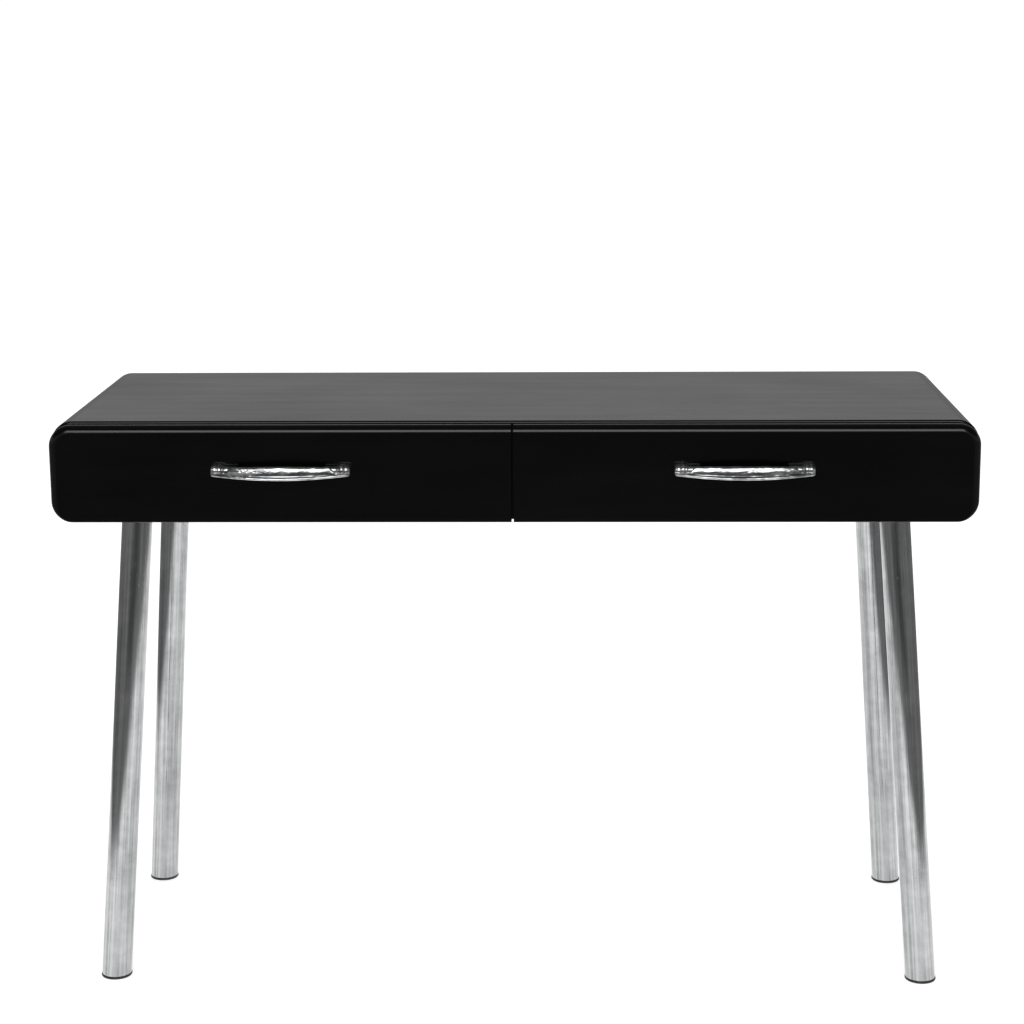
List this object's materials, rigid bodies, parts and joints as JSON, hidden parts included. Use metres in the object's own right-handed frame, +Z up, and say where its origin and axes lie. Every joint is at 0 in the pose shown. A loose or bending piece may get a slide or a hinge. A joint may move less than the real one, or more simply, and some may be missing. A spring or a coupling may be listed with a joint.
{
  "type": "writing desk with drawers",
  "caption": "Low-profile rounded writing desk: black lacquered case on splayed chrome tube legs, with side-by-side drawers behind full-width fronts and chrome bow handles.",
  "frame": {"origin": "on the floor, under the middle of the overall box, handles included", "axes": "+X to the right as seen by someone sitting at the drawers, +Y to the back, +Z up; the drawers open along -Y"},
  "size_m": [1.2, 0.478, 0.77],
  "materials": {
    "lacquer": "fibreboard under polished black lacquer",
    "foil": "fibreboard wrapped in dark charcoal foil",
    "chrome": "bright chrome plate",
    "zinc": "zinc-plated steel",
    "rail_paint": "off-white baked powder coat",
    "nylon": "natural nylon",
    "black_plastic": "black moulded plastic"
  },
  "bodies": {
    "case": {"top_panel": "lacquer", "bottom_panel": "lacquer", "left_side_panel": "lacquer", "right_side_panel": "lacquer", "top_left_corner": "lacquer", "top_right_corner": "lacquer", "bottom_left_corner": "lacquer", "bottom_right_corner": "lacquer", "centre_divider": "lacquer", "back_panel": "lacquer", "back_panel_screws": "zinc", "left_outer_rail": "rail_paint", "left_inner_rail": "rail_paint", "right_inner_rail": "rail_paint", "right_outer_rail": "rail_paint", "rail_screws": "zinc", "front_left_leg_plate": "zinc", "front_right_leg_plate": "zinc", "back_left_leg_plate": "zinc", "back_right_leg_plate": "zinc", "front_left_leg": "chrome", "front_right_leg": "chrome", "back_left_leg": "chrome", "back_right_leg": "chrome", "front_left_foot": "black_plastic", "front_right_foot": "black_plastic", "back_left_foot": "black_plastic", "back_right_foot": "black_plastic", "leg_stud_inserts": "zinc", "leg_plate_screws": "zinc"},
    "left_outer_rail_roller": {"left_outer_rail_roller": "nylon"},
    "left_inner_rail_roller": {"left_inner_rail_roller": "nylon"},
    "right_inner_rail_roller": {"right_inner_rail_roller": "nylon"},
    "right_outer_rail_roller": {"right_outer_rail_roller": "nylon"},
    "left_drawer": {"left_drawer_front": "lacquer", "left_drawer_outer_side": "foil", "left_drawer_inner_side": "foil", "left_drawer_back": "foil", "left_drawer_bottom": "foil", "left_handle": "chrome", "left_handle_screws": "zinc", "left_front_cams": "zinc", "left_outer_slide": "rail_paint", "left_inner_slide": "rail_paint", "left_slide_screws": "zinc"},
    "left_outer_slide_roller": {"left_outer_slide_roller": "nylon"},
    "left_inner_slide_roller": {"left_inner_slide_roller": "nylon"},
    "right_drawer": {"right_drawer_front": "lacquer", "right_drawer_outer_side": "foil", "right_drawer_inner_side": "foil", "right_drawer_back": "foil", "right_drawer_bottom": "foil", "right_handle": "chrome", "right_handle_screws": "zinc", "right_front_cams": "zinc", "right_outer_slide": "rail_paint", "right_inner_slide": "rail_paint", "right_slide_screws": "zinc"},
    "right_outer_slide_roller": {"right_outer_slide_roller": "nylon"},
    "right_inner_slide_roller": {"right_inner_slide_roller": "nylon"}
  },
  "joints": [
    {"name": "left_drawer_slide", "type": "slide", "parent": "case", "child": "left_drawer", "axis": [0, -1, 0], "range_m": [0, 0.3]},
    {"name": "right_drawer_slide", "type": "slide", "parent": "case", "child": "right_drawer", "axis": [0, -1, 0], "range_m": [0, 0.3]},
    {"name": "left_outer_rail_roller_spin", "type": "hinge", "parent": "case", "child": "left_outer_rail_roller", "pos_m": [-0.575, -0.173, 0.6799], "axis": [1, 0, 0], "continuous": true},
    {"name": "left_outer_slide_roller_spin", "type": "hinge", "parent": "left_drawer", "child": "left_outer_slide_roller", "pos_m": [-0.575, 0.199, 0.6794], "axis": [1, 0, 0], "continuous": true},
    {"name": "left_inner_rail_roller_spin", "type": "hinge", "parent": "case", "child": "left_inner_rail_roller", "pos_m": [-0.016, -0.173, 0.6799], "axis": [1, 0, 0], "continuous": true},
    {"name": "left_inner_slide_roller_spin", "type": "hinge", "parent": "left_drawer", "child": "left_inner_slide_roller", "pos_m": [-0.016, 0.199, 0.6794], "axis": [1, 0, 0], "continuous": true},
    {"name": "right_outer_rail_roller_spin", "type": "hinge", "parent": "case", "child": "right_outer_rail_roller", "pos_m": [0.575, -0.173, 0.6799], "axis": [1, 0, 0], "continuous": true},
    {"name": "right_outer_slide_roller_spin", "type": "hinge", "parent": "right_drawer", "child": "right_outer_slide_roller", "pos_m": [0.575, 0.199, 0.6794], "axis": [1, 0, 0], "continuous": true},
    {"name": "right_inner_rail_roller_spin", "type": "hinge", "parent": "case", "child": "right_inner_rail_roller", "pos_m": [0.016, -0.173, 0.6799], "axis": [1, 0, 0], "continuous": true},
    {"name": "right_inner_slide_roller_spin", "type": "hinge", "parent": "right_drawer", "child": "right_inner_slide_roller", "pos_m": [0.016, 0.199, 0.6794], "axis": [1, 0, 0], "continuous": true}
  ],
  "couplings": [
    {"joint": "left_outer_rail_roller_spin", "follows": "left_drawer_slide", "rad_per_m": 117.65},
    {"joint": "left_outer_slide_roller_spin", "follows": "left_drawer_slide", "rad_per_m": 117.65},
    {"joint": "left_inner_rail_roller_spin", "follows": "left_drawer_slide", "rad_per_m": 117.65},
    {"joint": "left_inner_slide_roller_spin", "follows": "left_drawer_slide", "rad_per_m": 117.65},
    {"joint": "right_outer_rail_roller_spin", "follows": "right_drawer_slide", "rad_per_m": 117.65},
    {"joint": "right_outer_slide_roller_spin", "follows": "right_drawer_slide", "rad_per_m": 117.65},
    {"joint": "right_inner_rail_roller_spin", "follows": "right_drawer_slide", "rad_per_m": 117.65},
    {"joint": "right_inner_slide_roller_spin", "follows": "right_drawer_slide", "rad_per_m": 117.65}
  ]
}
